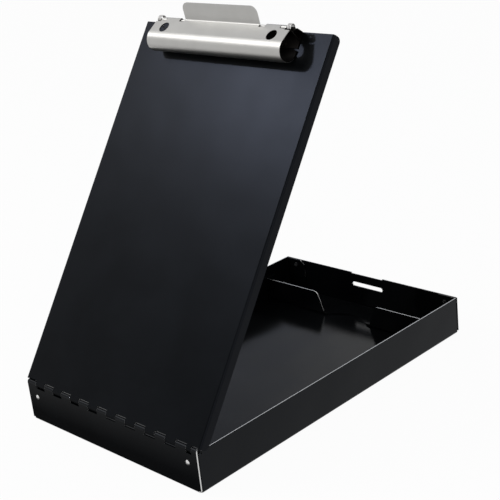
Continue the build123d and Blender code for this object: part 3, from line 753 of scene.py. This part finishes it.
def direct_rays(tree):
    """Tests for the camera's rays, and for these with those of reflections and glass."""
    ray = put(tree, "ShaderNodeLightPath").outputs
    camera_ray = ray["Is Camera Ray"]
    return camera_ray, any_of(tree, camera_ray, ray["Is Glossy Ray"], ray["Is Transmission Ray"])


def blend(tree, factor, first, second):
    """One shader mixed into another by a factor."""
    made = put(tree, "ShaderNodeMixShader")
    for socket, value in zip(made.inputs, (factor, first.outputs[0], second.outputs[0])):
        tree.links.new(value, socket)
    return made.outputs["Shader"]


floor_white, tree, place = new_material("floor_white")
camera_ray, direct = direct_rays(tree)
x, y, z = parts_of(tree, place)
# Painted shade: the strip before the hinge wall glows less in reflections, darkest near the
# wall.
painted_shade_strip = put(
    tree, "ShaderNodeMapRange", {},
    Value=y, From_Min=STRIP_NEAR_Y, From_Max=STRIP_FAR_Y, To_Min=STRIP_LEVEL, To_Max=1.0,
).outputs["Result"]
elsewhere = any_of(tree, above(tree, x, STRIP_END_X), above(tree, y, STRIP_WALL_Y))
strength = any_of(tree, camera_ray, painted_shade_strip, elsewhere)
card = put(tree, "ShaderNodeBsdfDiffuse", {}, Color=CARD)
glow = put(tree, "ShaderNodeEmission", {}, Color=WHITE, Strength=strength)
share = maths(tree, "MULTIPLY", direct, GLOW_SHARE)
put(tree, "ShaderNodeOutputMaterial", {}, Surface=blend(tree, share, card, glow))
floor.data.materials.append(floor_white)
print("material:", floor_white.name)

# %% [markdown]
# ## The room
#
# The world is the room. It lights the object at a low, even level, and the camera and
# the reflections see it white, as they would see the white paper of a studio. Only a
# dimmer, cooler panel leans at the left behind the object, and the tray's floor mirrors
# it, so that the floor grows darker toward the lid. A picture of a studio could be
# wrapped round the scene instead, but two soft steps are enough for one panel.
#
# For a world the Generated coordinates are the direction in which a ray leaves, so the
# panel is a band of directions: its dot product with one fixed direction grows from the
# panel's near edge to its far edge.

# %% The room
ROOM_COLOUR = (0.95, 0.97, 1.0, 1.0)
ROOM_LEVEL = 0.45
PANEL = (0.51, 0.545, 0.64, 1.0)
PANEL_SIDE = (-0.719, -0.695, -0.8)
PANEL_NEAR = (-0.375, -0.312)
PANEL_FAR = (-0.19, -0.29)

room = bpy.data.worlds.new("room")
room.use_nodes = True
scene.world = room
tree = room.node_tree
tree.nodes.clear()
camera_ray, direct = direct_rays(tree)
heading = put(tree, "ShaderNodeTexCoord").outputs["Generated"]
leftward = vector_maths(tree, "DOT_PRODUCT", heading, PANEL_SIDE)
panel = all_of(
    tree, soft_step(tree, leftward, *PANEL_NEAR), soft_step(tree, leftward, *PANEL_FAR),
    below(tree, camera_ray, 0.5),
)
dim = put(tree, "ShaderNodeBackground", {}, Color=ROOM_COLOUR, Strength=ROOM_LEVEL)
white = put(
    tree, "ShaderNodeBackground", {}, Color=mixed(tree, panel, WHITE, PANEL), Strength=1.0,
)
put(tree, "ShaderNodeOutputWorld", {}, Surface=blend(tree, direct, dim, white))
print("world:", room.name)

# %% [markdown]
# ## The lamps
#
# The clip's shadow falls on the board to the lower right, so the main lamp stands at the
# upper left. A second, weaker one fills the front. Large area lamps give soft shadows.
# Each is aimed with a look-at matrix, so its place and target are enough.

# %% The lamps
def look_at(place, target):
    """A matrix whose -Z points from the place to the target, with +Y as upright as it can."""
    back = np.array(place, float) - np.array(target, float)
    back /= np.linalg.norm(back)
    right = np.cross((0, 0, 1), back)
    right /= np.linalg.norm(right)
    axes = np.eye(4)
    axes[:3, 0] = right
    axes[:3, 1] = np.cross(back, right)
    axes[:3, 2] = back
    axes[:3, 3] = place
    return Matrix(axes.tolist())


def area_lamp(name, place, target, size, power, colour=(1, 1, 1)):
    """A square area lamp, with its size in metres and its power in watts."""
    data = bpy.data.lights.new(name, "AREA")
    data.shape = "SQUARE"
    data.size = size
    data.energy = power
    data.color = colour
    lamp = bpy.data.objects.new(name, data)
    lamp.matrix_world = look_at(place, target)
    scene.collection.objects.link(lamp)
    return lamp


key = area_lamp("key", (-1.05, -0.75, 1.35), (0.0, 0.0, 0.22), size=0.9, power=7.0)
fill = area_lamp(
    "fill", (1.4, -0.9, 1.1), (0.0, 0.0, 0.15), size=1.2, power=4.0, colour=(0.97, 0.98, 1.0),
)
print("lamps:", key.name, fill.name)

# %% [markdown]
# ## A lamp for the board alone
#
# The writing board goes from near black at the hinge to a cool grey under the clip. That
# is the glow of a lamp at the upper left, which stands where the upper end of the board
# would mirror it, and the clip's dark shape on the board is cut out of the same glow.
# Such a lamp would burn out the nickel, so light linking gives it to the lid plate alone.

# %% The board's lamp
BOARD_TOP = clip_point(0.05, 0.0)
TO_LAMP = np.array([-0.632, -0.489, 0.601])
LAMP_AWAY = 1.5
board_lamp_place = BOARD_TOP + LAMP_AWAY * TO_LAMP

board_glow = area_lamp(
    "board_glow", tuple(board_lamp_place), tuple(BOARD_TOP),
    size=0.08, power=12.5, colour=(0.74, 0.80, 1.0),
)
board_only = bpy.data.collections.new("board_only")
board_only.objects.link(nodes["lid_plate"])
board_glow.light_linking.receiver_collection = board_only
print("board lamp at, in metres:", np.round(board_lamp_place, 2))

# %% [markdown]
# ## The picture's settings
#
# A product photo on white shows colours as they are. The Standard view transform writes
# them unchanged, so white stays white. A filmic one would keep more detail in glints,
# but turn the white floor grey.

# %% The picture's settings
scene.view_settings.view_transform = "Standard"
print("view transform:", scene.view_settings.view_transform)

# %% [markdown]
# ## Sizes, and the end
#
# The dressed object has to be exactly as large as the CAD model, because finishes have no
# thickness here. The largest difference between the two boxes is printed.

# %% Sizes, and the end
visual_box = [list(corner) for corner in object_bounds()]
difference = float(np.abs(np.array(cad_box) - np.array(visual_box)).max())
print("CAD box and visual box differ by at most, in mm:", round(1000 * difference, 3))
